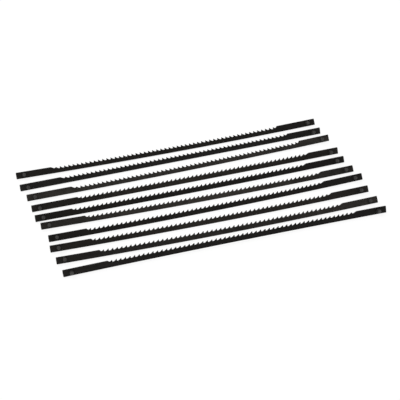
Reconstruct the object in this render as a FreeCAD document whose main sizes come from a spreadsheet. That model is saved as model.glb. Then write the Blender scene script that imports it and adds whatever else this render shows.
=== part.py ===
import FreeCAD, Part
import os, math
from FreeCAD import Vector, Placement, Rotation

# A fanned set of ten loose pin-end saw blades, side by side on a flat surface.
#
# Frame: millimetres, +Z up, +X along the blades, +Y towards the toothed edges.
# The origin is the middle of the set's footprint, on the surface it lies on.
#
# Every blade is a thin spring-steel strip with a blank at each end, a row of
# raked teeth between them and a round cross pin pressed through each blank.
# The cross pins keep a loose blade from lying flat: it rests on its back edge
# and on the rear ends of its two pins, toothed edge up, leaning back.  Each
# strip has a slight edgewise camber, so it is turned about a far-off axis and
# its teeth are patterned about that same axis.
#
# Blade frame: origin at the middle of the strip, x along it, y across it
# (teeth on +y), z through its thickness.  The teeth rake towards +x.

doc = FreeCAD.newDocument("pin_end_blade_set")

# ---------------------------------------------------------------- dimensions
sheet = doc.addObject("Spreadsheet::Sheet", "dims")
row = [0]


def cell(alias, value):
    row[0] += 1
    a = "A%d" % row[0]
    b = "B%d" % row[0]
    sheet.set(a, alias)
    sheet.set(b, "%.6f" % value if isinstance(value, float) else str(value))
    sheet.setAlias(b, alias)


cell("blade_length", 130.0)
cell("blade_width", 2.75)
cell("blade_thick", 0.5)
cell("tooth_pitch", 1.788)
cell("tooth_depth", 0.78)       # from a tip down to the gullet floor
cell("tip_land", 0.05)          # flat left on each tip
cell("face_rake", 0.07)         # undercut of the cutting face
cell("gullet_count", 54)
cell("first_depth", 0.5)        # the gullet next to the blank is shallower
cell("runout_length", 1.8)      # last tip to the blank's full width
cell("runout_notch", 0.3)       # notch behind the last tip
cell("seat_radius", 0.87)       # the pin where the blade holds it
cell("seat_proud", 0.1)         # the seat stands out of each face
cell("pin_radius", 0.7)         # the pin's free ends
cell("pin_overhang", 1.5)       # each side of the strip
cell("pin_inset", 3.3)          # pin axis to the blade's end
cell("pin_chamfer", 0.12)
cell("centre_x", -0.066400)           # middle of the set's footprint, before it is
cell("centre_y", 3.009700)           # moved onto the origin

# One row a blade: middle of the strip (X, Y), direction in degrees, 1 if turned
# over end for end, edgewise camber, toothed edge's set-back from the blank's
# edge, and where the first gullet starts along the blade (from the middle).
blades = [
    # X        Y       dir     over camber  drop   start
    (-4.573,  32.067, -0.083, 1, 0.69, 0.19, -48.04),
    (-4.102,  25.763,  0.515, 1, 0.10, 0.03, -50.36),
    (-2.319,  19.165,  1.032, 1, 0.56, 0.29, -51.83),
    (-1.433,  11.865,  0.105, 0, 0.15, 0.04, -46.34),
    (-0.987,   5.667,  0.107, 0, 0.39, 0.06, -50.06),
    (0.508,   -0.367, -0.609, 0, 0.70, 0.16, -47.31),
    (2.286,   -6.892,  0.278, 0, 0.67, 0.10, -49.93),
    (1.914,  -13.486, -0.555, 0, 0.64, 0.14, -48.90),
    (3.140,  -20.346, -0.599, 0, 0.70, 0.09, -48.21),
    (4.448,  -26.040, -0.190, 0, -0.41, 0.03, -47.67),
]
for i, (bx, by, bd, over, cam, drop, start) in enumerate(blades):
    n = "%02d" % (i + 1)
    cell("mid_x_" + n, bx)
    cell("mid_y_" + n, by)
    cell("heading_" + n, bd)
    cell("camber_" + n, cam)
    cell("setback_" + n, drop)
    cell("start_" + n, start)
doc.recompute()

# the same values, for placing things in this script
V = {}
for i in range(1, row[0] + 1):
    V[sheet.getContents("A%d" % i).strip("'")] = float(sheet.get("B%d" % i))


def plane(body, role):
    for f in body.Origin.OriginFeatures:
        if f.Role == role:
            return f
    raise RuntimeError("no " + role)


def ok(o):
    if "Invalid" in o.State or "Error" in o.State:
        raise RuntimeError("%s: %s" % (o.Label, o.State))


def close_loop(sk, pts, exprs):
    """A closed chain of lines through pts, every corner tied to its expressions."""
    n = len(pts)
    ids = []
    for k in range(n):
        a = pts[k]
        b = pts[(k + 1) % n]
        ids.append(sk.addGeometry(Part.LineSegment(Vector(a[0], a[1], 0), Vector(b[0], b[1], 0)), False))
    import Sketcher
    for k in range(n):
        sk.addConstraint(Sketcher.Constraint("Coincident", ids[k], 2, ids[(k + 1) % n], 1))
    for k in range(n):
        for kind, v, e in (("DistanceX", pts[k][0], exprs[k][0]), ("DistanceY", pts[k][1], exprs[k][1])):
            c = sk.addConstraint(Sketcher.Constraint(kind, -1, 1, ids[k], 1, v))
            if e is not None:
                sk.setExpression("Constraints[%d]" % c, e)
    return ids


def station(sk, s, s_expr, R, R_expr):
    """Put a sketch's origin on the strip's middle line, s along it, turned with it."""
    sk.AttachmentOffset = Placement(Vector(R * math.sin(s / R), R * (1 - math.cos(s / R)), 0),
                                    Rotation(Vector(0, 0, 1), math.degrees(s / R)))
    sk.setExpression(".AttachmentOffset.Base.x", "(%s) * sin((%s) / (%s) * 1 rad) * 1 mm" % (R_expr, s_expr, R_expr))
    sk.setExpression(".AttachmentOffset.Base.y", "(%s) * (1 - cos((%s) / (%s) * 1 rad)) * 1 mm" % (R_expr, s_expr, R_expr))


def make_blade(n, over):
    import Sketcher
    L, W, T = V["blade_length"], V["blade_width"], V["blade_thick"]
    p, dep, land, rake = V["tooth_pitch"], V["tooth_depth"], V["tip_land"], V["face_rake"]
    cam, drop, start = V["camber_" + n], V["setback_" + n], V["start_" + n]
    R = L * L / (8.0 * cam)
    Re = "dims.blade_length * dims.blade_length / (8 * dims.camber_%s)" % n

    body = doc.addObject("PartDesign::Body", "body_blade_" + n)
    body.Label = "blade_" + n

    # the strip: its cross-section turned about the far axis
    sk = body.newObject("Sketcher::SketchObject", "section_" + n)
    sk.AttachmentSupport = [(plane(body, "YZ_Plane"), "")]
    sk.MapMode = "FlatFace"
    hw, ht = "dims.blade_width / 2", "dims.blade_thick / 2"
    close_loop(sk, [(-W / 2, -T / 2), (W / 2, -T / 2), (W / 2, T / 2), (-W / 2, T / 2)],
               [("-" + hw, "-" + ht), (hw, "-" + ht), (hw, ht), ("-" + hw, ht)])
    ax = sk.addGeometry(Part.LineSegment(Vector(R, -5, 0), Vector(R, 5, 0)), True)
    sk.addConstraint(Sketcher.Constraint("Vertical", ax))
    c = sk.addConstraint(Sketcher.Constraint("DistanceX", -1, 1, ax, 1, R))
    sk.setExpression("Constraints[%d]" % c, Re)
    sk.addConstraint(Sketcher.Constraint("DistanceY", -1, 1, ax, 1, -5.0))
    sk.addConstraint(Sketcher.Constraint("DistanceY", ax, 1, ax, 2, 10.0))
    rev = body.newObject("PartDesign::Revolution", "strip_" + n)
    rev.Profile = sk
    rev.ReferenceAxis = (sk, ["Axis0"])
    rev.Angle = math.degrees(L / abs(R))
    rev.setExpression("Angle", "dims.blade_length / abs(%s) * 180 / pi" % Re)
    rev.Midplane = True
    doc.recompute()
    ok(rev)
    v0 = rev.Shape.Volume
    want = L * W * T
    if abs(v0 - want) > 0.01 * want:
        raise RuntimeError("strip %s volume %.3f, expected %.3f" % (n, v0, want))

    # the toothed stretch is set back from the blank's edge
    yt = W / 2 - drop
    yte = "dims.blade_width / 2 - dims.setback_%s" % n
    sa, sb = start + 0.3, start + V["gullet_count"] * p + 0.2
    sm = "(dims.start_%s + dims.gullet_count * dims.tooth_pitch / 2 + 0.25)" % n
    phi = (sa + sb) / 2 / R
    es = body.newObject("Sketcher::SketchObject", "setback_" + n)
    es.AttachmentSupport = [(plane(body, "YZ_Plane"), "")]
    es.MapMode = "FlatFace"
    es.AttachmentOffset = Placement(Vector(R * (1 - math.cos(phi)), 0, R * math.sin(phi)),
                                    Rotation(Vector(0, 1, 0), math.degrees(phi)))
    es.setExpression(".AttachmentOffset.Base.x", "(%s) * (1 - cos(%s / (%s) * 1 rad)) * 1 mm" % (Re, sm, Re))
    es.setExpression(".AttachmentOffset.Base.z", "(%s) * sin(%s / (%s) * 1 rad) * 1 mm" % (Re, sm, Re))
    close_loop(es, [(yt, -T), (W / 2 + 0.5, -T), (W / 2 + 0.5, T), (yt, T)],
               [(yte, "-dims.blade_thick"), ("dims.blade_width / 2 + 0.5", "-dims.blade_thick"),
                ("dims.blade_width / 2 + 0.5", "dims.blade_thick"), (yte, "dims.blade_thick")])
    ax = es.addGeometry(Part.LineSegment(Vector(R, -5, 0), Vector(R, 5, 0)), True)
    es.addConstraint(Sketcher.Constraint("Vertical", ax))
    c = es.addConstraint(Sketcher.Constraint("DistanceX", -1, 1, ax, 1, R))
    es.setExpression("Constraints[%d]" % c, Re)
    es.addConstraint(Sketcher.Constraint("DistanceY", -1, 1, ax, 1, -5.0))
    es.addConstraint(Sketcher.Constraint("DistanceY", ax, 1, ax, 2, 10.0))
    gv = body.newObject("PartDesign::Groove", "setback_cut_" + n)
    gv.Profile = es
    gv.ReferenceAxis = (es, ["Axis0"])
    gv.Angle = math.degrees((sb - sa) / abs(R))
    gv.setExpression("Angle", "(dims.gullet_count * dims.tooth_pitch - 0.1) / abs(%s) * 180 / pi" % Re)
    gv.Midplane = True
    doc.recompute()
    ok(gv)
    want = (sb - sa) * drop * T
    if abs(v0 - gv.Shape.Volume - want) > 0.03 * want:
        raise RuntimeError("setback %s cuts %.3f, expected %.3f" % (n, v0 - gv.Shape.Volume, want))
    v1 = gv.Shape.Volume

    # one gullet, from a tip's cutting face to the back of the next tooth
    gs = body.newObject("Sketcher::SketchObject", "gullet_" + n)
    gs.AttachmentSupport = [(plane(body, "XY_Plane"), "")]
    gs.MapMode = "FlatFace"
    station(gs, start + p, "dims.start_%s + dims.tooth_pitch" % n, R, Re)
    pts = [(0.0, yt), (-rake, yt - 0.55 * dep), (0.06, yt - 0.9 * dep), (0.24, yt - dep), (0.50, yt - dep),
           (0.78, yt - 0.86 * dep), (p - land, yt), (p - land, W / 2 + 0.5), (0.0, W / 2 + 0.5)]
    ex = [(None, yte), ("-dims.face_rake", yte + " - 0.55 * dims.tooth_depth"),
          (None, yte + " - 0.9 * dims.tooth_depth"), (None, yte + " - dims.tooth_depth"),
          (None, yte + " - dims.tooth_depth"), (None, yte + " - 0.86 * dims.tooth_depth"),
          ("dims.tooth_pitch - dims.tip_land", yte),
          ("dims.tooth_pitch - dims.tip_land", "dims.blade_width / 2 + 0.5"), (None, "dims.blade_width / 2 + 0.5")]
    close_loop(gs, pts, ex)
    pk = body.newObject("PartDesign::Pocket", "gullet_cut_" + n)
    pk.Profile = gs
    pk.Type = "ThroughAll"
    pk.Midplane = True
    doc.recompute()
    ok(pk)
    cut1 = v1 - pk.Shape.Volume
    if cut1 < 0.2 * T:
        raise RuntimeError("gullet %s cuts %.4f" % (n, cut1))

    # the row of gullets, about the same far axis
    hs = body.newObject("Sketcher::SketchObject", "far_axis_" + n)
    hs.AttachmentSupport = [(plane(body, "XY_Plane"), "")]
    hs.MapMode = "FlatFace"
    hs.AttachmentOffset = Placement(Vector(0, R, 0), Rotation())
    hs.setExpression(".AttachmentOffset.Base.y", "(%s) * 1 mm" % Re)
    hs.addGeometry(Part.Point(Vector(0, 0, 0)), True)
    doc.recompute()
    pat = body.newObject("PartDesign::PolarPattern", "teeth_" + n)
    pat.Originals = [pk]
    pat.Axis = (hs, ["N_Axis"])
    pat.Reversed = R < 0
    pat.Occurrences = int(V["gullet_count"]) - 1
    pat.Angle = math.degrees((V["gullet_count"] - 2) * p / abs(R))
    pat.setExpression("Angle", "(dims.gullet_count - 2) * dims.tooth_pitch / abs(%s) * 180 / pi" % Re)
    pat.setExpression("Occurrences", "dims.gullet_count - 1")
    body.Tip = pat
    doc.recompute()
    ok(pat)
    cutn = v1 - pat.Shape.Volume
    if not 0.97 < cutn / (cut1 * (V["gullet_count"] - 1)) < 1.03:
        raise RuntimeError("teeth %s cut %.3f, one gullet %.4f" % (n, cutn, cut1))
    print("blade", n, "gullets cut", round(cutn / cut1, 2))

    # the gullet next to the blank
    fd = V["first_depth"]
    fs = body.newObject("Sketcher::SketchObject", "first_gullet_" + n)
    fs.AttachmentSupport = [(plane(body, "XY_Plane"), "")]
    fs.MapMode = "FlatFace"
    station(fs, start, "dims.start_" + n, R, Re)
    pts = [(0.0, W / 2 + 0.5), (0.0, W / 2 - 0.02), (0.55, yt - 0.8 * fd), (0.72, yt - fd), (0.92, yt - fd),
           (1.08, yt - 0.86 * fd), (p - land, yt), (p - land, W / 2 + 0.5)]
    ex = [(None, "dims.blade_width / 2 + 0.5"), (None, "dims.blade_width / 2 - 0.02"),
          (None, yte + " - 0.8 * dims.first_depth"), (None, yte + " - dims.first_depth"),
          (None, yte + " - dims.first_depth"), (None, yte + " - 0.86 * dims.first_depth"),
          ("dims.tooth_pitch - dims.tip_land", yte),
          ("dims.tooth_pitch - dims.tip_land", "dims.blade_width / 2 + 0.5")]
    close_loop(fs, pts, ex)
    fk = body.newObject("PartDesign::Pocket", "first_gullet_cut_" + n)
    fk.Profile = fs
    fk.Type = "ThroughAll"
    fk.Midplane = True
    doc.recompute()
    ok(fk)
    v1f = fk.Shape.Volume
    if not 0.2 * T < (v1 - cutn) - v1f < 2 * T:
        raise RuntimeError("first gullet %s cuts %.4f" % (n, v1 - cutn - v1f))

    # the last tooth runs out into the blank
    rs = body.newObject("Sketcher::SketchObject", "runout_" + n)
    rs.AttachmentSupport = [(plane(body, "XY_Plane"), "")]
    rs.MapMode = "FlatFace"
    s54 = start + V["gullet_count"] * p
    station(rs, s54, "dims.start_%s + dims.gullet_count * dims.tooth_pitch" % n, R, Re)
    nt, ro = V["runout_notch"], V["runout_length"]
    # the ramp reaches the blank's edge at runout_length, and its line goes on past it
    beyond = 0.5 * (ro - 0.42) / (drop + 0.9 * nt)
    beyond_e = "0.5 * (dims.runout_length - 0.42) / (dims.setback_%s + 0.9 * dims.runout_notch)" % n
    pts = [(0.0, yt), (-0.04, yt - 0.8 * nt), (0.14, yt - nt), (0.42, yt - 0.9 * nt),
           (ro + beyond, W / 2 + 0.5), (0.0, W / 2 + 0.5)]
    ex = [(None, yte), (None, yte + " - 0.8 * dims.runout_notch"), (None, yte + " - dims.runout_notch"),
          (None, yte + " - 0.9 * dims.runout_notch"), ("dims.runout_length + " + beyond_e, "dims.blade_width / 2 + 0.5"),
          (None, "dims.blade_width / 2 + 0.5")]
    close_loop(rs, pts, ex)
    rk = body.newObject("PartDesign::Pocket", "runout_cut_" + n)
    rk.Profile = rs
    rk.Type = "ThroughAll"
    rk.Midplane = True
    doc.recompute()
    ok(rk)
    v2 = rk.Shape.Volume
    if not 0.02 * T < v1f - v2 < 3 * T:
        raise RuntimeError("runout %s cuts %.4f" % (n, v1f - v2))

    # a hole for each cross pin
    last = v2
    for side, sg in (("a", -1.0), ("b", 1.0)):
        ps = body.newObject("Sketcher::SketchObject", "pin_hole_%s_%s" % (side, n))
        ps.AttachmentSupport = [(plane(body, "XY_Plane"), "")]
        ps.MapMode = "FlatFace"
        s = sg * (L / 2 - V["pin_inset"])
        station(ps, s, "%g * (dims.blade_length / 2 - dims.pin_inset)" % sg, R, Re)
        g = ps.addGeometry(Part.Circle(Vector(0, 0, 0), Vector(0, 0, 1), V["seat_radius"]), False)
        ps.addConstraint(Sketcher.Constraint("Coincident", g, 3, -1, 1))
        c = ps.addConstraint(Sketcher.Constraint("Radius", g, V["seat_radius"]))
        ps.setExpression("Constraints[%d]" % c, "dims.seat_radius")
        hk = body.newObject("PartDesign::Pocket", "pin_hole_cut_%s_%s" % (side, n))
        hk.Profile = ps
        hk.Type = "ThroughAll"
        hk.Midplane = True
        doc.recompute()
        ok(hk)
        want = math.pi * V["seat_radius"] ** 2 * T
        if abs(last - hk.Shape.Volume - want) > 0.02 * want:
            raise RuntimeError("pin hole %s %s cuts %.4f" % (n, side, last - hk.Shape.Volume))
        last = hk.Shape.Volume
    return body, R


def make_pin(name):
    """A round pin: a seat for the blade's hole and two lightly chamfered free ends."""
    import Sketcher
    r, c, rs = V["pin_radius"], V["pin_chamfer"], V["seat_radius"]
    hs = V["blade_thick"] / 2 + V["seat_proud"]
    hse, rse = "dims.blade_thick / 2 + dims.seat_proud", "dims.seat_radius"
    h = V["pin_overhang"] + V["blade_thick"] / 2
    he = "dims.pin_overhang + dims.blade_thick / 2"
    body = doc.addObject("PartDesign::Body", "body_" + name)
    body.Label = name
    sk = body.newObject("Sketcher::SketchObject", "profile_" + name)
    sk.AttachmentSupport = [(plane(body, "XZ_Plane"), "")]
    sk.MapMode = "FlatFace"
    re, rc = "dims.pin_radius", "dims.pin_radius - dims.pin_chamfer"
    close_loop(sk, [(0, -h), (r - c, -h), (r, -h + c), (r, -hs), (rs, -hs),
                    (rs, hs), (r, hs), (r, h - c), (r - c, h), (0, h)],
               [(None, "-(%s)" % he), (rc, "-(%s)" % he), (re, "-(%s) + dims.pin_chamfer" % he),
                (re, "-(%s)" % hse), (rse, "-(%s)" % hse), (rse, hse), (re, hse),
                (re, he + " - dims.pin_chamfer"), (rc, he), (None, he)])
    rev = body.newObject("PartDesign::Revolution", "turned_" + name)
    rev.Profile = sk
    rev.ReferenceAxis = (sk, ["V_Axis"])
    rev.Angle = 360
    doc.recompute()
    ok(rev)
    want = math.pi * (r * r * 2 * h + (rs * rs - r * r) * 2 * hs)
    if not 0.95 * want < rev.Shape.Volume < 1.001 * want:
        raise RuntimeError("pin %s volume %.3f" % (name, rev.Shape.Volume))
    return body


parts = []
for i, (bx, by, bd, over, cam, drop, start) in enumerate(blades):
    n = "%02d" % (i + 1)
    body, R = make_blade(n, over)
    L, W, T = V["blade_length"], V["blade_width"], V["blade_thick"]
    reach = V["pin_overhang"] - V["pin_chamfer"]
    # the lowest point of the back edge (its middle, or its ends if the camber
    # is the other way), and the pins' axes, across the blade
    low = min(-W / 2, R - (R + W / 2) * math.cos(L / 2 / R))
    sp = L / 2 - V["pin_inset"]
    across = R * (1 - math.cos(sp / R))
    # leaning back from upright until the pins' rear ends touch the surface
    lean = math.atan2(across - V["pin_radius"] - low, reach)
    lift = -low * math.cos(lean) + T / 2 * math.sin(lean)
    lie = Rotation(Vector(0, 0, 1), V["heading_" + n]).multiply(
        Rotation(Vector(1, 0, 0), 90 - math.degrees(lean)))
    flip = Rotation(Vector(0, 1, 0), 180) if over else Rotation()
    rot = lie.multiply(flip)
    base = Vector(V["mid_x_" + n] - V["centre_x"], V["mid_y_" + n] - V["centre_y"], lift)
    body.Placement = Placement(base, rot)
    parts.append(body)
    print("blade %s lean %.3f lift %.4f" % (n, math.degrees(lean), lift))
    # pins: 'a' is the one at the set's -X end, 'b' at its +X end
    for sg in (-1.0, 1.0):
        s = sg * sp
        local = Vector(R * math.sin(s / R), R * (1 - math.cos(s / R)), 0)
        w = base + rot.multVec(local)
        end = "a" if (sg < 0) != bool(over) else "b"
        pin = make_pin("pin_%s_%s" % (n, end))
        pin.Placement = Placement(w, lie)
        parts.append(pin)

doc.recompute()
for o in doc.Objects:
    ok(o)
for b in parts:
    s = b.Shape
    if s.isNull() or not s.isValid() or len(s.Solids) != 1:
        raise RuntimeError(b.Label + ": bad shape")

box = FreeCAD.BoundBox()
for b in parts:
    box.add(b.Shape.BoundBox)
print("box", [round(x, 3) for x in (box.XMin, box.XMax, box.YMin, box.YMax, box.ZMin, box.ZMax)])
print("centre off by %.4f %.4f, bottom %.5f" % ((box.XMin + box.XMax) / 2, (box.YMin + box.YMax) / 2, box.ZMin))

os.makedirs("parts", exist_ok=True)
for b in parts:
    b.Shape.exportStep("parts/" + b.Label + ".step")
print("wrote", len(parts))
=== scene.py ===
import math
import random

import bpy
from mathutils import Matrix, Vector


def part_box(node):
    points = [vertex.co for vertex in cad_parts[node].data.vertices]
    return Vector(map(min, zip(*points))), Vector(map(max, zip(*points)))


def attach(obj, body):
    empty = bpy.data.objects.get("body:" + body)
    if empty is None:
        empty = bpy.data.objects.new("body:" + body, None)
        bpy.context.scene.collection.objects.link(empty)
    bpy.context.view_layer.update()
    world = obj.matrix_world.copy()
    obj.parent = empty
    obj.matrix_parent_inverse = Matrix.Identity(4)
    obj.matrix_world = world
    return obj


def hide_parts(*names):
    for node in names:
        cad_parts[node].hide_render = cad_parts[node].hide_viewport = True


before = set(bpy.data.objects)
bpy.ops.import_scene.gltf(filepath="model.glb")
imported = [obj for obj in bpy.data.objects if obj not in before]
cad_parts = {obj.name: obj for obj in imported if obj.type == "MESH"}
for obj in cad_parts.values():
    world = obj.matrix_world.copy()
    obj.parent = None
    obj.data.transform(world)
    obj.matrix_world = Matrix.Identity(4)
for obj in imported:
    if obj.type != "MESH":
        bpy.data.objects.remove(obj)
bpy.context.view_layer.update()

MM = 0.001
scene = bpy.context.scene
scene.view_settings.view_transform = "Standard"
scene.view_settings.look = "None"

# ------------------------------------------------------------------ dimensions
# The blades' own sizes, in millimetres, as the design holds them.
LENGTH, WIDTH, THICK = 130.0, 2.75, 0.5
PITCH, DEPTH, LAND, RAKE = 1.788, 0.78, 0.05, 0.07
GULLETS, FIRST = 54, 0.5
RUNOUT, NOTCH = 2.0, 0.3
PIN_R, PIN_OVER, PIN_INSET = 0.70, 1.5, 3.3
SEAT_R, SEAT_OUT = 0.87, 0.10
PIN_CHAMFER = 0.12
# turned over end for end, edgewise camber, set-back of the toothed edge, first gullet
BLADES = {
    "01": (1, 0.69, 0.19, -48.04),
    "02": (1, 0.10, 0.03, -50.36),
    "03": (1, 0.56, 0.29, -51.83),
    "04": (0, 0.15, 0.04, -46.34),
    "05": (0, 0.39, 0.06, -50.06),
    "06": (0, 0.70, 0.16, -47.31),
    "07": (0, 0.67, 0.10, -49.93),
    "08": (0, 0.64, 0.14, -48.90),
    "09": (0, 0.70, 0.09, -48.21),
    "10": (0, -0.41, 0.03, -47.67),
}
# how light each blade's oxide is at its -x end, middle and +x end, and how warm
TONE = {
    "01": (0.38, 0.47, 0.50, 1.0),
    "02": (0.53, 0.53, 0.55, 0.4),
    "03": (1.80, 1.76, 1.85, 0.5),
    "04": (0.69, 1.08, 0.67, 0.8),
    "05": (0.44, 0.33, 0.22, 1.0),
    "06": (1.17, 2.15, 1.09, 0.55),
    "07": (0.32, 0.42, 0.31, 1.0),
    "08": (0.60, 1.04, 0.81, 0.8),
    "09": (0.80, 1.24, 1.79, 0.5),
    "10": (0.62, 0.46, 0.36, 0.5),
}

# the near blade is the duller one
SHEEN = {"10": 0.16}
# one more gullet than the rest
LONGER = {"10": 1}


# ------------------------------------------------------------------ camera
cam_data = bpy.data.cameras.new("camera")
cam = bpy.data.objects.new("camera", cam_data)
scene.collection.objects.link(cam)
cam_data.sensor_width = 36.0
cam_data.lens = 95.595
cam_data.clip_start = 0.01
cam_data.clip_end = 60.0
_p = (-80.4226 * MM, -302.9480 * MM, 295.8964 * MM)
_r = (0.964167, -0.265216, -0.006569)
_u = (0.187544, 0.663868, 0.723952)
_f = (0.187643, 0.699242, -0.689819)
cam.matrix_world = Matrix(((_r[0], _u[0], -_f[0], _p[0]), (_r[1], _u[1], -_f[1], _p[1]),
                           (_r[2], _u[2], -_f[2], _p[2]), (0, 0, 0, 1)))
scene.camera = cam


# ------------------------------------------------------------------ node helpers
class Net:
    """A short way to write a material's nodes."""

    def __init__(self, name):
        self.m = bpy.data.materials.new(name)
        self.m.use_nodes = True
        self.t = self.m.node_tree
        self.t.nodes.clear()
        self.out = self.add("ShaderNodeOutputMaterial")

    def add(self, kind, **kw):
        n = self.t.nodes.new(kind)
        for k, v in kw.items():
            setattr(n, k, v)
        return n

    def link(self, a, b):
        self.t.links.new(a, b)

    def val(self, sock, v):
        if hasattr(v, "is_output"):
            self.link(v, sock)
        else:
            sock.default_value = v

    def math(self, op, a, b=0.0, c=0.0, clamp=False):
        n = self.add("ShaderNodeMath", operation=op, use_clamp=clamp)
        for i, v in enumerate((a, b, c)):
            if i < len(n.inputs):
                self.val(n.inputs[i], v)
        return n.outputs[0]

    def ramp(self, v, lo, hi, a=0.0, b=1.0, smooth=True):
        n = self.add("ShaderNodeMapRange", interpolation_type="SMOOTHSTEP" if smooth else "LINEAR")
        self.val(n.inputs["Value"], v)
        n.inputs["From Min"].default_value = lo
        n.inputs["From Max"].default_value = hi
        n.inputs["To Min"].default_value = a
        n.inputs["To Max"].default_value = b
        return n.outputs[0]

    def noise(self, vec, scale, detail=3.0, rough=0.5, dist=0.0):
        n = self.add("ShaderNodeTexNoise")
        self.link(vec, n.inputs["Vector"])
        n.inputs["Scale"].default_value = scale
        n.inputs["Detail"].default_value = detail
        n.inputs["Roughness"].default_value = rough
        n.inputs["Distortion"].default_value = dist
        return n.outputs["Fac"]

    def mix(self, f, a, b, mode="MIX"):
        n = self.add("ShaderNodeMix", data_type="RGBA", blend_type=mode)
        self.val(n.inputs[0], f)
        for i, v in ((6, a), (7, b)):
            if hasattr(v, "is_output"):
                self.link(v, n.inputs[i])
            else:
                n.inputs[i].default_value = (*v, 1.0)
        return n.outputs[2]

    def scaled(self, vec, xyz, shift=(0, 0, 0)):
        n = self.add("ShaderNodeMapping")
        self.link(vec, n.inputs["Vector"])
        n.inputs["Scale"].default_value = xyz
        n.inputs["Location"].default_value = shift
        return n.outputs[0]


def blade_material(n):
    """Blackened spring steel.  The mesh carries the distance along and across the strip, in
    millimetres, so the rolling marks follow its camber and every blade has its own pattern."""
    left, mid, right, warm = TONE[n]
    k = int(n) * 37.0
    g = Net("black_steel_" + n)
    lay = g.add("ShaderNodeAttribute", attribute_name="lay").outputs["Vector"]
    sep = g.add("ShaderNodeSeparateXYZ")
    g.link(lay, sep.inputs[0])
    along, across = sep.outputs[0], sep.outputs[1]
    pos = g.scaled(lay, (1, 1, 1), (k, k * 0.7, 0))

    # drawn out rolling and grinding marks along the strip
    fine = g.noise(g.scaled(pos, (0.35, 14, 14)), 1.0, 4.0, 0.6)
    coarse = g.noise(g.scaled(pos, (0.09, 3.0, 3.0)), 1.0, 3.0, 0.55)
    # blotches left by the oxide bath and by oil
    blotch = g.noise(g.scaled(pos, (0.22, 0.5, 0.5)), 1.0, 3.0, 0.55, 0.6)
    speck = g.noise(pos, 5.5, 2.0, 0.6)
    # rubbed lighter on rims
    rim = g.add("ShaderNodeAttribute", attribute_name="rim").outputs["Fac"]
    grit = g.noise(pos, 2.2, 3.0, 0.65)
    worn = g.math("MULTIPLY", g.ramp(rim, 0.35, 1.0), g.ramp(grit, 0.35, 0.7, 0.25, 1.0))

    dark = (0.0105 * (1 + 0.30 * warm), 0.0105, 0.0105 * (1 - 0.30 * warm))
    pale = (0.023 * (1 + 0.30 * warm), 0.023, 0.023 * (1 - 0.30 * warm))
    col = g.mix(g.ramp(blotch, 0.3, 0.72), dark, pale)
    col = g.mix(g.ramp(coarse, 0.35, 0.75, 0.0, 0.45), col, (pale[0] * 1.25, pale[1] * 1.22, pale[2] * 1.2))
    col = g.mix(g.ramp(fine, 0.5, 0.8, 0.0, 0.35), col, (dark[0] * 0.55, dark[1] * 0.55, dark[2] * 0.55))
    # each blade took the oxide a little differently along its length
    light = g.math("ADD", g.ramp(along, -60.0, -8.0, left, mid), g.ramp(along, 8.0, 60.0, 0.0, right - mid))
    col = g.mix(1.0, col, light, "MULTIPLY")
    col = g.mix(g.math("MULTIPLY", worn, 0.42), col, (0.056, 0.052, 0.049))
    rough = g.math("ADD", g.ramp(coarse, 0.3, 0.75, 0.40, 0.54), g.ramp(speck, 0.4, 0.7, -0.03, 0.05))

    b = g.add("ShaderNodeBsdfPrincipled")
    g.link(col, b.inputs["Base Color"])
    b.inputs["Metallic"].default_value = 0.0
    b.inputs["IOR"].default_value = 1.5
    b.inputs["Specular IOR Level"].default_value = SHEEN.get(n, 0.30)
    g.link(rough, b.inputs["Roughness"])
    h = g.math("ADD", g.math("MULTIPLY", fine, 0.55), g.math("MULTIPLY", speck, 0.25))
    h = g.math("ADD", h, g.math("MULTIPLY", coarse, 0.5))
    bump = g.add("ShaderNodeBump")
    bump.inputs["Strength"].default_value = 0.35
    bump.inputs["Distance"].default_value = 0.000018
    g.link(h, bump.inputs["Height"])
    g.link(bump.outputs[0], b.inputs["Normal"])
    g.link(b.outputs[0], g.out.inputs[0])
    return g.m


def pin_material(name, seed):
    """The cut ends of the wire are bare steel, and their lighter colour is partly a painted highlight; the sides keep
    their oxide.
    """
    g = Net(name)
    lay = g.add("ShaderNodeAttribute", attribute_name="lay").outputs["Vector"]
    pos = g.scaled(lay, (1, 1, 1), (seed * 11.3, seed * 5.1, 0))
    # mask of the cut ends, which get the lighter colour: bare steel and partly a painted highlight
    face = g.add("ShaderNodeAttribute", attribute_name="rim").outputs["Fac"]
    shear = g.noise(g.scaled(pos, (4.5, 1.3, 1.3)), 1.0, 3.0, 0.55)
    blot = g.noise(pos, 1.2, 2.0, 0.5)
    side = g.noise(g.scaled(pos, (7, 7, 0.8)), 1.0, 3.0, 0.55)
    # lighter grey of the cut ends: bare steel, and partly a painted highlight on the pin ends
    steel = g.mix(g.ramp(shear, 0.30, 0.75), (0.060, 0.056, 0.053), (0.110, 0.104, 0.098))
    steel = g.mix(g.ramp(blot, 0.55, 0.80), steel, (0.030, 0.028, 0.026))
    body = g.mix(g.ramp(side, 0.3, 0.7), (0.013, 0.012, 0.011), (0.032, 0.030, 0.028))
    # the cut ends take the lighter grey, partly a painted highlight; the sides keep the dark oxide
    col = g.mix(face, body, steel)
    b = g.add("ShaderNodeBsdfPrincipled")
    g.link(col, b.inputs["Base Color"])
    b.inputs["Metallic"].default_value = 0.0
    b.inputs["Specular IOR Level"].default_value = 0.4
    g.link(g.ramp(shear, 0.3, 0.7, 0.36, 0.55), b.inputs["Roughness"])
    bump = g.add("ShaderNodeBump")
    bump.inputs["Strength"].default_value = 0.4
    bump.inputs["Distance"].default_value = 0.00003
    g.link(g.math("ADD", shear, side), bump.inputs["Height"])
    g.link(bump.outputs[0], b.inputs["Normal"])
    g.link(b.outputs[0], g.out.inputs[0])
    return g.m


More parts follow.
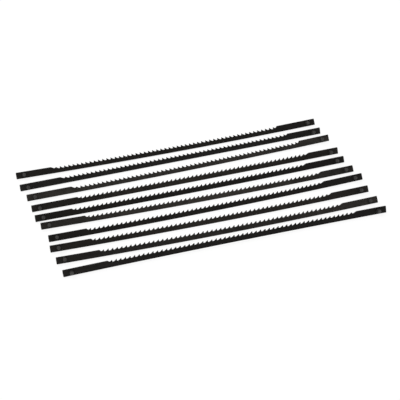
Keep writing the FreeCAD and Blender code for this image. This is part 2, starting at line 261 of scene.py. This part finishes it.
# ------------------------------------------------------------------ blade shape
def tooth_points(rng):
    """The toothed edge of one pitch, from a tip's cutting face to the back of the next tip, as
    (along, depth below the tips).  Leaves the two tips to the caller."""
    d = DEPTH * (1 + rng.uniform(-0.03, 0.03))
    k = rng.uniform(-0.02, 0.02)
    return [(-0.035, 0.27 * d), (-RAKE, 0.55 * d), (-0.045, 0.74 * d), (0.055, 0.90 * d), (0.215, 0.985 * d),
            (0.40 + k, d), (0.60 + k, 0.945 * d), (0.80, 0.845 * d), (1.10, 0.60 * d), (1.42, 0.30 * d)]


def outline(n):
    """The blade's toothed edge from one end to the other: (along, across, bevel, base)."""
    over, camber, drop, start = BLADES[n]
    count = GULLETS + LONGER.get(n, 0)
    rng = random.Random(1000 + int(n))
    half = LENGTH / 2
    top = WIDTH / 2
    tip = top - drop
    pts = []

    def blank(a, b, n_):
        for i in range(n_):
            x = a + (b - a) * i / n_
            pts.append([x, top, 0.04, x])

    hole = half - PIN_INSET
    # end corner, then the blank up to and past the pin's square patch
    pts.append(["END", -1])
    # the patch round the pin is made apart: see make_blade
    x0 = -hole + 1.5
    steps = max(6, int((start - x0) / 1.1))
    for i in range(steps + 1):
        x = x0 + (start - x0) * i / steps
        pts.append([x, top, 0.04, x])
    # teeth: tip 0 is the blank's own corner, and the gullet beside it is shallow
    for j in range(count):
        a = start + j * PITCH
        row = tooth_points(rng)
        if j == 0:
            foot = tip - 0.8 * FIRST
            for x, y in [(0.20, top + (foot - top) * 0.36), (0.40, top + (foot - top) * 0.73), (0.55, foot),
                         (0.72, tip - FIRST), (0.92, tip - FIRST), (1.08, tip - 0.86 * FIRST), (1.34, tip - 0.54 * FIRST)]:
                pts.append([a + x, y, 0.02, a + x * 0.93 + 0.06])
        else:
            for (x, d) in row:
                pts.append([a + x, tip - d, 0.02, a + max(x, -0.0) * 0.93 + 0.06])
        # the last tooth is ground lower than the rest
        y = tip - 0.15 if j == count - 1 else tip
        pts.append([a + PITCH - LAND, y, 0.012, a + PITCH - 0.05])
        pts.append([a + PITCH, y, 0.012, a + PITCH])
    a = start + count * PITCH
    foot = top - max(0.62, drop + NOTCH + 0.15)
    run = [(-0.03, (tip + foot) / 2 - 0.06), (0.20, foot + 0.02), (0.50, foot), (0.85, foot + 0.08),
           (1.20, foot + (top - foot) * 0.42), (1.60, foot + (top - foot) * 0.74), (RUNOUT, top)]
    for i, (x, y) in enumerate(run):
        pts.append([a + x, y, 0.03, a + max(x, 0.05 * (i + 1))])
    x1 = hole - 1.5
    a += RUNOUT
    steps = max(6, int((x1 - a) / 1.1))
    for i in range(1, steps + 1):
        x = a + (x1 - a) * i / steps
        pts.append([x, top, 0.04, x])
    return pts[1:]


ROWS = 6


def make_blade(n):
    over, camber, drop, start = BLADES[n]
    count = GULLETS + LONGER.get(n, 0)
    rng = random.Random(7 + int(n))
    half, ht = LENGTH / 2, THICK / 2
    big_r = LENGTH * LENGTH / (8.0 * camber)
    tip = WIDTH / 2 - drop
    knee = tip - DEPTH - 0.12
    verts, faces, lay, rim = [], [], [], []

    def add(x, y, z, r=0.0):
        verts.append((x, y, z))
        lay.append((x, y, z))
        rim.append(r)
        return len(verts) - 1

    cols = outline(n)
    # bases must go strictly forward
    last = -1e9
    for c in cols:
        if c[3] < last + 0.03:
            c[3] = last + 0.03
        last = c[3]
    # a gentle burr and set: alternate teeth lean to alternate faces
    def lean(x, y):
        if y <= knee or x < start + 0.2 or x > start + count * PITCH + 0.3:
            return 0.0
        k = round((x - start - 0.15) / PITCH + 0.0)
        f = min(1.0, (y - knee) / max(0.2, tip - knee))
        centre = start + k * PITCH
        # strongest at the tip, fading into the gullets beside it
        side = 1 if k % 2 else -1
        away = abs((x - centre) / PITCH)
        return side * 0.10 * f * f * max(0.0, 1 - 1.6 * max(0.0, away - 0.12))

    b0 = 0.04
    # normals of the outline, for the bevel
    inset = []
    m = len(cols)
    for i, c in enumerate(cols):
        p0 = cols[max(0, i - 1)]
        p1 = cols[min(m - 1, i + 1)]
        tx, ty = p1[0] - p0[0], p1[1] - p0[1]
        l = math.hypot(tx, ty) or 1.0
        nx, ny = -ty / l, tx / l      # points out of the steel, towards +y on a plain edge
        b = c[2]
        inset.append((c[0] - nx * b, c[1] - ny * b))

    grid = []
    for i, c in enumerate(cols):
        x, y, b, base = c
        ix, iy = inset[i]
        toothed = y < WIDTH / 2 - 1e-6 or (start - 0.01 <= x <= start + count * PITCH + RUNOUT + 0.01)
        col = {"top": [], "bot": []}
        low = -WIDTH / 2 + b0
        in_teeth = start - 0.5 < x < start + count * PITCH + RUNOUT
        for r in range(ROWS + 1):
            t = r / ROWS
            if in_teeth:
                # even rows up to the knee, then up to the edge
                if r <= ROWS - 2:
                    yy = low + (min(knee, iy - 0.1) - low) * r / (ROWS - 2)
                    xx = base
                else:
                    u = (r - (ROWS - 2)) / 2.0
                    ky = min(knee, iy - 0.1)
                    yy = ky + (iy - ky) * u
                    xx = base + (ix - base) * u
            else:
                yy = low + (iy - low) * t
                xx = base + (ix - base) * t
            rr = 1.0 if r in (0, ROWS) else 0.0
            dz = lean(xx, yy)
            col["top"].append(add(xx, yy, ht + dz, rr))
            col["bot"].append(add(xx, yy, -ht + dz, rr))
        dz = lean(x, y)
        col["tw"] = add(x, y, ht - b + dz, 0.8)
        col["bw"] = add(x, y, -ht + b + dz, 0.8)
        col["tb"] = add(base, -WIDTH / 2, ht - b0, 0.8)
        col["bb"] = add(base, -WIDTH / 2, -ht + b0, 0.8)
        grid.append(col)

    def ring(col):
        """All the way round one cross-section."""
        return ([col["tb"]] + col["top"] + [col["tw"], col["bw"]] + col["bot"][::-1] + [col["bb"]])

    rings = [ring(c) for c in grid]
    for i in range(len(rings) - 1):
        a, b = rings[i], rings[i + 1]
        k = len(a)
        for j in range(k):
            faces.append((a[j], b[j], b[(j + 1) % k], a[(j + 1) % k]))

    # the square patch round each pin hole, out to the blade's end
    seg = ROWS * 4
    r_in = SEAT_R - 0.002
    r_ch = SEAT_R + 0.045

    def patch(sign, join):
        """sign -1: the end at -x.  join is the ring of the grid it meets."""
        hx = sign * (half - PIN_INSET)
        low, high = -WIDTH / 2 + b0, WIDTH / 2 - b0
        # square boundary, ROWS per side, going round from the joined side
        def boundary(z):
            ids = []
            xj = hx - sign * 1.5
            xe = hx + sign * 1.5
            side = join["top"] if z > 0 else join["bot"]
            ids += list(side)                          # up the joined side, low to high
            for r in range(1, ROWS + 1):               # along the toothed edge, outwards
                ids.append(add(xj + (xe - xj) * r / ROWS, high, z, 1.0))
            for r in range(1, ROWS + 1):               # down the far side
                ids.append(add(xe, high + (low - high) * r / ROWS, z, 0.0))
            for r in range(1, ROWS):                   # back along the plain edge
                ids.append(add(xe + (xj - xe) * r / ROWS, low, z, 1.0))
            return ids
        out = {}
        for key, z in (("top", ht), ("bot", -ht)):
            bd = boundary(z)
            cnt = len(bd)
            rings_ = [bd]
            for (rad, zz, mixf, rm) in ((1.13, z, None, 0.0), (1.0, z, None, 0.0), (r_ch, z, None, 0.6),
                                        (r_in, z - math.copysign(0.045, z), None, 0.9)):
                rr = []
                for j in range(cnt):
                    bx, by = verts[bd[j]][0] - hx, verts[bd[j]][1]
                    l = math.hypot(bx, by)
                    if mixf is None and rad == 1.13:
                        # halfway ring, between the circle and the square
                        f = 0.5
                        rr.append(add(hx + bx / l * (1.0 * (1 - f) + l * f), by / l * (1.0 * (1 - f) + l * f), zz, rm))
                    else:
                        rr.append(add(hx + bx / l * rad, by / l * rad, zz, rm))
                rings_.append(rr)
            flip = (sign > 0) != (key == "top")
            for q in range(len(rings_) - 1):
                a, b = rings_[q], rings_[q + 1]
                for j in range(cnt):
                    f = (a[j], a[(j + 1) % cnt], b[(j + 1) % cnt], b[j])
                    faces.append(f if flip else f[::-1])
            out[key] = (bd, rings_[-1])
        # the hole's wall
        ti, bi = out["top"][1], out["bot"][1]
        cnt = len(ti)
        for j in range(cnt):
            f = (ti[j], ti[(j + 1) % cnt], bi[(j + 1) % cnt], bi[j])
            faces.append(f if sign < 0 else f[::-1])
        # edges of the patch, joined to the strip's chamfered edges
        tb_, bb_ = out["top"][0], out["bot"][0]
        hi_t = tb_[ROWS:2 * ROWS + 1]
        hi_b = bb_[ROWS:2 * ROWS + 1]
        far_t = tb_[2 * ROWS:3 * ROWS + 1]
        far_b = bb_[2 * ROWS:3 * ROWS + 1]
        lo_t = [tb_[0]] + tb_[3 * ROWS:][::-1]
        lo_b = [bb_[0]] + bb_[3 * ROWS:][::-1]
        hw_t = [join["tw"]] + [add(verts[v][0], WIDTH / 2, ht - b0, 0.8) for v in hi_t[1:]]
        hw_b = [join["bw"]] + [add(verts[v][0], WIDTH / 2, -ht + b0, 0.8) for v in hi_b[1:]]
        lw_t = [join["tb"]] + [add(verts[v][0], -WIDTH / 2, ht - b0, 0.8) for v in lo_t[1:]]
        lw_b = [join["bb"]] + [add(verts[v][0], -WIDTH / 2, -ht + b0, 0.8) for v in lo_b[1:]]
        for a, b in ((hi_t, hw_t), (hw_t, hw_b), (hw_b, hi_b)):
            for j in range(len(a) - 1):
                f = (a[j], a[j + 1], b[j + 1], b[j])
                faces.append(f if sign < 0 else f[::-1])
        for a, b in ((lo_b, lw_b), (lw_b, lw_t), (lw_t, lo_t)):
            for j in range(len(a) - 1):
                f = (a[j], a[j + 1], b[j + 1], b[j])
                faces.append(f if sign < 0 else f[::-1])
        # the short stretch past the patch, to the sheared end
        xe = sign * half
        xb = xe - sign * b0
        rc = 0.12          # the sheared corners are slightly rounded
        def rowx(y):
            return xb - sign * rc * max(0.0, (abs(y) - (WIDTH / 2 - rc)) / rc) ** 2
        ringA = ([lw_t[-1]] + far_t[::-1] + [hw_t[-1], hw_b[-1]] + far_b + [lw_b[-1]])
        ringB = []
        for v in ringA:
            x, y, z = verts[v]
            ringB.append(add(rowx(y) - sign * 0.0, y, z, max(rim[v], 0.7)))
        ringC = []
        for v in ringA:
            x, y, z = verts[v]
            yy = max(-WIDTH / 2 + b0, min(WIDTH / 2 - b0, y))
            zz = max(-ht + b0, min(ht - b0, z))
            ringC.append(add(rowx(y) + sign * b0, yy, zz, 0.9))
        k = len(ringA)
        for a, b in ((ringA, ringB), (ringB, ringC)):
            for j in range(k):
                f = (a[j], b[j], b[(j + 1) % k], a[(j + 1) % k])
                faces.append(f if sign > 0 else f[::-1])
        # close the end face: pair its top row with its bottom row
        t_row = ringC[1:ROWS + 2]
        b_row = ringC[ROWS + 4:2 * ROWS + 5][::-1]
        for j in range(ROWS):
            f = (t_row[j], b_row[j], b_row[j + 1], t_row[j + 1])
            faces.append(f if sign > 0 else f[::-1])
        return ringC

    patch(-1, grid[0])
    patch(1, grid[-1])

    return verts, faces, lay, rim, big_r


def lie(n):
    """A blade's directions: along it, from its back edge to its teeth, and out of its front face.
    It leans back until its pins' rear ends touch what it lies on, as the design works it out."""
    over, camber, drop, start = BLADES[n]
    big_r = LENGTH * LENGTH / (8.0 * camber)
    low = min(-WIDTH / 2, big_r - (big_r + WIDTH / 2) * math.cos(LENGTH / 2 / big_r))
    across = big_r * (1 - math.cos((LENGTH / 2 - PIN_INSET) / big_r))
    back = math.atan2(across - PIN_R - low, PIN_OVER - PIN_CHAMFER)
    lo_a, hi_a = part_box("pin_%s_a" % n)
    lo_b, hi_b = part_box("pin_%s_b" % n)
    pa, pb = (lo_a + hi_a) / 2, (lo_b + hi_b) / 2
    ax = Vector((pb.x - pa.x, pb.y - pa.y, 0)).normalized()
    side = Vector((-ax.y, ax.x, 0))
    up = Vector((0, 0, 1))
    ay = side * math.sin(back) + up * math.cos(back)
    az = -side * math.cos(back) + up * math.sin(back)
    return pa, pb, ax, ay, az


def build_blade(n):
    over, camber, drop, start = BLADES[n]
    verts, faces, lay, rim, R = make_blade(n)
    pa, pb, ax, ay, az = lie(n)
    if over:
        ax, az = -ax, -az
    s = LENGTH / 2 - PIN_INSET
    # the pins' chord, in the blade's frame, is this far from its middle line's crown
    yc = R * (1 - math.cos(s / R))
    mid = (pa + pb) / 2 - ay * (yc * MM)
    out = []
    for (x, y, z) in verts:
        lx = (R - y) * math.sin(x / R)
        ly = R - (R - y) * math.cos(x / R)
        out.append(mid + ax * (lx * MM) + ay * (ly * MM) + az * (z * MM))
    me = bpy.data.meshes.new("saw_blade_" + n)
    me.from_pydata(out, [], faces)
    a = me.attributes.new("lay", "FLOAT_VECTOR", "POINT")
    a.data.foreach_set("vector", [c for v in lay for c in v])
    a = me.attributes.new("rim", "FLOAT", "POINT")
    a.data.foreach_set("value", rim)
    for p in me.polygons:
        p.use_smooth = True
    me.set_sharp_from_angle(angle=math.radians(32))
    me.validate()
    ob = bpy.data.objects.new("saw_blade_" + n, me)
    scene.collection.objects.link(ob)
    me.materials.append(blade_material(n))
    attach(ob, "blade_%s_set" % n)
    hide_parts("blade_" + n)
    return ob


# ------------------------------------------------------------------ pins
def build_pin(n, end, seed):
    rng = random.Random(seed)
    name = "pin_%s_%s" % (n, end)
    pa, pb, ax, ay, az = lie(n)
    c = pa if end == "a" else pb
    r, h, ch = PIN_R - 0.004, PIN_OVER + THICK / 2, PIN_CHAMFER
    hs = THICK / 2 + SEAT_OUT
    seg = 32
    half = [(0.0, h - 0.004), (0.28, h - 0.006), (0.48, h - 0.012), (r - ch - 0.01, h - 0.022), (r - ch * 0.52, h - ch * 0.52),
            (r, h - ch - 0.004), (r, h - ch - 0.25), (r, hs + 0.03), (r + 0.02, hs + 0.004), (SEAT_R - 0.05, hs - 0.004), (SEAT_R - 0.012, hs - 0.025),
            (SEAT_R - 0.004, hs - 0.055)]
    prof = half + [(q, -z) for (q, z) in half[::-1]]
    # each cut end leans a hair, as a sheared wire does
    t1, t2 = rng.uniform(0, 6.28), rng.uniform(0, 6.28)
    verts, faces, lay, rim = [], [], [], []
    idx = []
    for (q, z) in prof:
        # marks the cut ends, which the pin material paints lighter: bare steel and partly a painted highlight
        end_face = 1.0 if abs(z) > h - ch * 0.8 else 0.0
        if q == 0.0:
            verts.append((0, 0, z)); lay.append((0, 0, z)); rim.append(end_face)
            idx.append([len(verts) - 1])
            continue
        row = []
        for j in range(seg):
            a = 2 * math.pi * j / seg
            x, y = q * math.cos(a), q * math.sin(a)
            dz = 0.0
            if abs(z) > h - ch - 0.01:
                lean = 0.010 * (math.cos(a - (t1 if z > 0 else t2)) - 1) * q / r
                dz = lean if z > 0 else -lean
            verts.append((x, y, z + dz)); lay.append((x, y, z)); rim.append(end_face)
            row.append(len(verts) - 1)
        idx.append(row)
    for a, b in zip(idx, idx[1:]):
        for j in range(seg):
            k = (j + 1) % seg
            if len(a) == 1:
                faces.append((a[0], b[j], b[k]))
            elif len(b) == 1:
                faces.append((a[j], b[0], a[k]))
            else:
                faces.append((a[j], b[j], b[k], a[k]))
    me = bpy.data.meshes.new("cross_" + name)
    me.from_pydata([c + (ax * v[0] + ay * v[1] + az * v[2]) * MM for v in verts], [], faces)
    a = me.attributes.new("lay", "FLOAT_VECTOR", "POINT")
    a.data.foreach_set("vector", [q for v in lay for q in v])
    a = me.attributes.new("rim", "FLOAT", "POINT")
    a.data.foreach_set("value", rim)
    for p in me.polygons:
        p.use_smooth = True
    me.set_sharp_from_angle(angle=math.radians(40))
    ob = bpy.data.objects.new("cross_" + name, me)
    scene.collection.objects.link(ob)
    me.materials.append(pin_material("pin_steel_%s_%s" % (n, end), seed))
    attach(ob, "blade_%s_set" % n)
    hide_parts(name)
    return ob


for i, n in enumerate(sorted(BLADES)):
    build_blade(n)
    build_pin(n, "a", 2 * i + 1)
    build_pin(n, "b", 2 * i + 2)


# ------------------------------------------------------------------ floor and light
def floor_material():
    g = Net("studio_floor")
    b = g.add("ShaderNodeBsdfPrincipled")
    b.inputs["Base Color"].default_value = (0.24, 0.24, 0.24, 1)
    b.inputs["Roughness"].default_value = 0.95
    b.inputs["Specular IOR Level"].default_value = 0.0
    b.inputs["Emission Color"].default_value = (1, 1, 1, 1)
    b.inputs["Emission Strength"].default_value = 0.87
    g.link(b.outputs[0], g.out.inputs[0])
    return g.m


floor_mesh = bpy.data.meshes.new("floor")
_s = 25.0
floor_mesh.from_pydata([(-_s, -_s, 0), (_s, -_s, 0), (_s, _s, 0), (-_s, _s, 0)], [], [(0, 1, 2, 3)])
floor = bpy.data.objects.new("floor", floor_mesh)
scene.collection.objects.link(floor)
floor_mesh.materials.append(floor_material())

world = bpy.data.worlds.new("studio")
scene.world = world
world.use_nodes = True
# a studio sky: bright low down, dimmer overhead
_w = world.node_tree
_bg = _w.nodes["Background"]
_co = _w.nodes.new("ShaderNodeTexCoord")
_se = _w.nodes.new("ShaderNodeSeparateXYZ")
_mr = _w.nodes.new("ShaderNodeMapRange")
_mr.interpolation_type = "SMOOTHSTEP"
_mr.inputs["From Min"].default_value = 0.0
_mr.inputs["From Max"].default_value = 0.12
_mr.inputs["To Min"].default_value = 0.8
_mr.inputs["To Max"].default_value = 0.38
_w.links.new(_co.outputs["Generated"], _se.inputs[0])
_w.links.new(_se.outputs[2], _mr.inputs["Value"])
_w.links.new(_mr.outputs[0], _bg.inputs[1])
_bg.inputs[0].default_value = (1, 1, 1, 1)


def softbox(name, loc, target, size, power):
    d = bpy.data.lights.new(name, "AREA")
    d.shape = "RECTANGLE"
    d.size = size[0]
    d.size_y = size[1]
    d.energy = power
    o = bpy.data.objects.new(name, d)
    scene.collection.objects.link(o)
    o.location = loc
    o.rotation_euler = (Vector(target) - Vector(loc)).to_track_quat("-Z", "Y").to_euler()
    return o


softbox("key", (-0.45, 0.55, 0.8), (0, 0, 0), (0.9, 0.9), 5.0)
